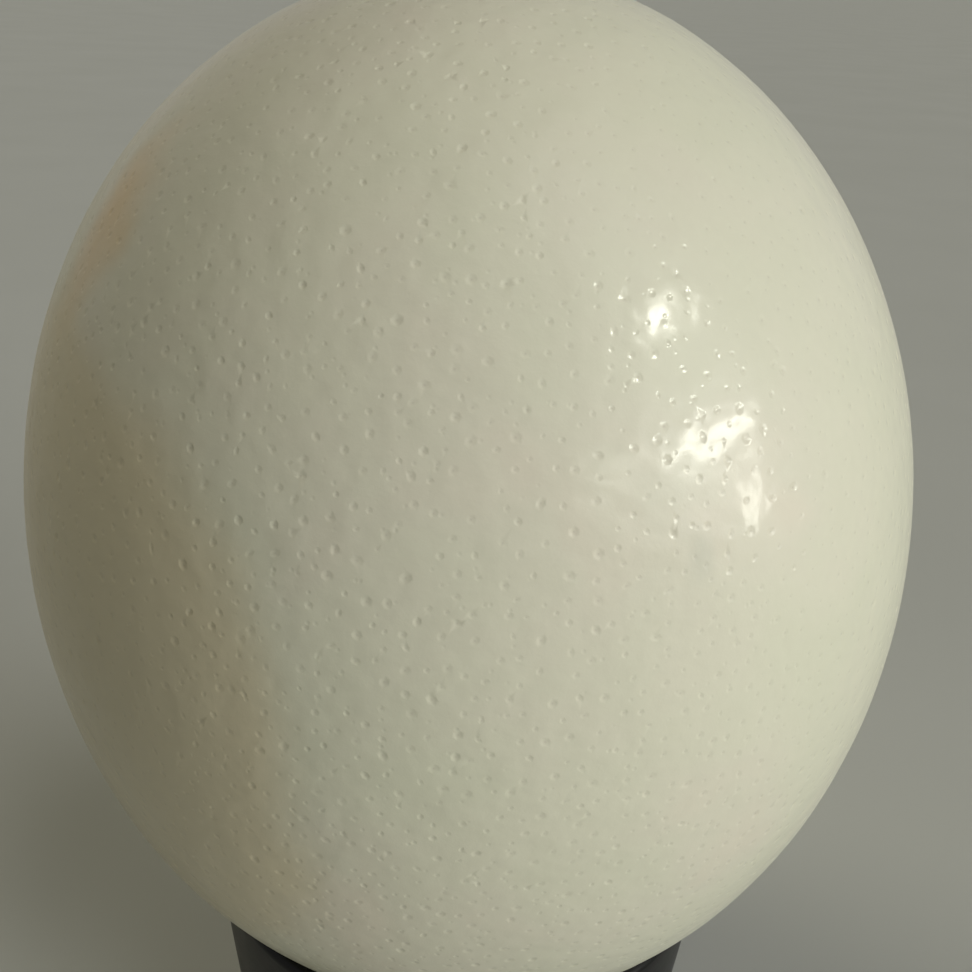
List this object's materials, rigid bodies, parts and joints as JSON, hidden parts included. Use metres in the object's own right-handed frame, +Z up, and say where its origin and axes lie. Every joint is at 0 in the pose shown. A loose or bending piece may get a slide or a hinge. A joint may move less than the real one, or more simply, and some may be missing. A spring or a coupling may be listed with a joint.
{
  "type": "ostrich egg on a ring stand",
  "caption": "Ostrich egg with a pored ivory shell, standing upright and loose in a plain black turned ring stand.",
  "frame": {"origin": "bottom centre of the whole object's box: on the surface the stand rests on, straight below the middle of the egg", "axes": "+Z up, along the egg's height (its long axis leans 2.9 degrees from +Z towards -X); -Y faces the viewer"},
  "size_m": [0.127, 0.127, 0.1738],
  "materials": {
    "eggshell": "ivory eggshell, low gloss, fine pores",
    "black_lacquer": "black satin lacquer on turned wood"
  },
  "bodies": {
    "root": {"egg": "eggshell", "stand_ring": "black_lacquer"}
  },
  "joints": []
}
